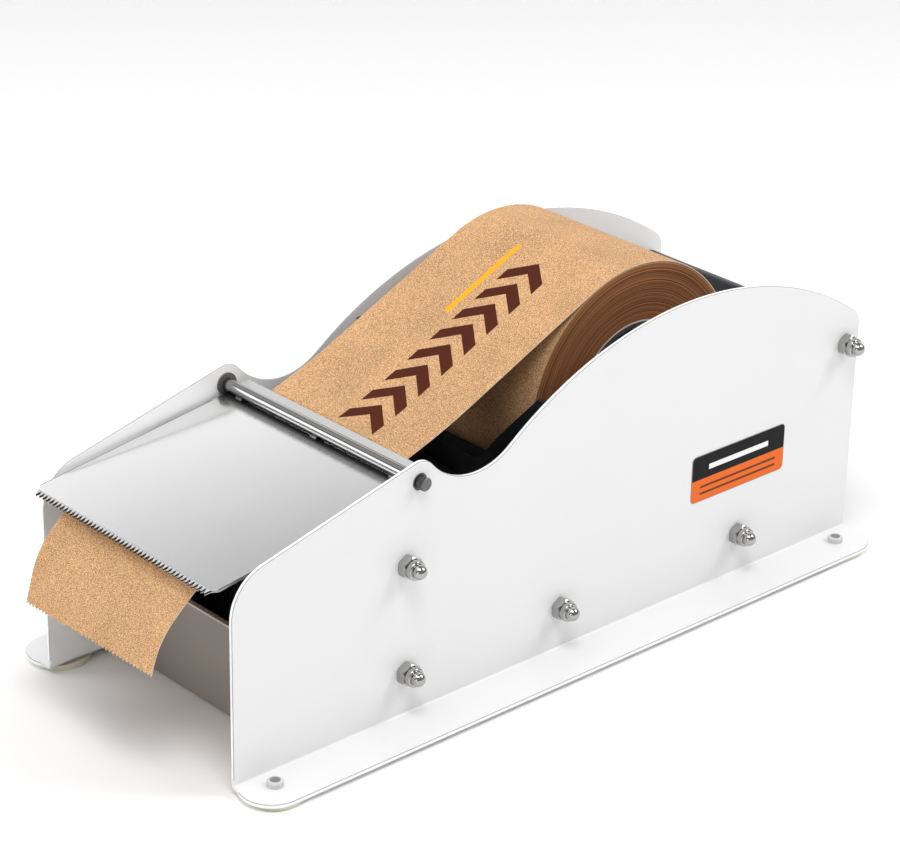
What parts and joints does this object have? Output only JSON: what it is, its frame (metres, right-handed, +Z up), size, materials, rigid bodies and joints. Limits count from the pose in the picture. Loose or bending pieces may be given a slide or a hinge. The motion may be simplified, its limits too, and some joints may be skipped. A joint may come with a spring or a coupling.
{
  "type": "gummed tape dispenser",
  "caption": "Tabletop dispenser for water-activated paper tape: two white sheet-steel sides, roll cradle, hinged serrated cutter plate and a loose water tank with a brush.",
  "frame": {"origin": "on the table, at the centre of the bounding box's footprint", "axes": "+Z up, -X towards the cutter edge and the user, Y across the tape"},
  "size_m": [0.3332, 0.15, 0.1384],
  "materials": {
    "white_powder_coat": "smooth white powder coat, satin",
    "zinc_steel": "zinc plated",
    "spacer_steel": "zinc plated, satin",
    "bright_nut": "bright nickel plate",
    "clear_rubber": "milky translucent rubber",
    "rivet_nylon": "grey nylon",
    "bush_nylon": "dark grey nylon",
    "cradle_plastic": "slate black, fine texture",
    "kraft_tape": "kraft paper, matt, fibre flecked",
    "kraft_roll": "wound kraft paper, cut edges",
    "core_board": "black board with a pale outer ply",
    "label_film": "printed film in two plain colours with a silver border",
    "bar_steel": "ground steel",
    "cutter_steel": "stainless sheet, fine brushed",
    "weld_metal": "dull weld metal",
    "tank_plastic": "warm grey, satin",
    "brush_base_plastic": "black",
    "bristle_nylon": "black nylon bristle"
  },
  "bodies": {
    "frame": {"side_plate_left": "white_powder_coat", "side_plate_right": "white_powder_coat", "tie_rod_front_upper": "zinc_steel", "tie_rod_front_lower": "zinc_steel", "tie_rod_middle": "zinc_steel", "tie_rod_rear_lower": "zinc_steel", "tie_rod_rear_upper": "zinc_steel", "spacer_tube_front_upper": "spacer_steel", "spacer_tube_front_lower": "spacer_steel", "spacer_tube_middle": "spacer_steel", "spacer_tube_rear_lower": "spacer_steel", "spacer_tube_rear_upper": "spacer_steel", "cap_nuts_left": "bright_nut", "cap_nuts_right": "bright_nut", "foot_pad_front_left": "clear_rubber", "foot_pad_front_right": "clear_rubber", "foot_pad_rear_left": "clear_rubber", "foot_pad_rear_right": "clear_rubber", "foot_rivets": "rivet_nylon", "bar_bush_left": "bush_nylon", "bar_bush_right": "bush_nylon", "tape_cradle": "cradle_plastic", "tape_run": "kraft_tape", "tape_tail": "kraft_tape", "label_plate": "label_film"},
    "roll": {"paper_roll": "kraft_roll", "roll_core": "core_board"},
    "blade": {"hinge_bar": "bar_steel", "blade_plate": "cutter_steel", "tack_welds": "weld_metal"},
    "tank": {"water_tank": "tank_plastic", "brush_base": "brush_base_plastic", "brush_bristles": "bristle_nylon"}
  },
  "joints": [
    {"name": "blade_hinge", "type": "hinge", "parent": "frame", "child": "blade", "pos_m": [-0.0627, 0, 0.0935], "axis": [0, 1, 0], "range_deg": [0, 15]},
    {"name": "roll_spin", "type": "hinge", "parent": "frame", "child": "roll", "pos_m": [0.0582, 0, 0.0857], "axis": [0, 1, 0], "continuous": true},
    {"name": "tank_slide", "type": "slide", "parent": "frame", "child": "tank", "axis": [-1, 0, 0], "range_m": [0, 0.042], "deforming": ["brush_bristles"]}
  ]
}
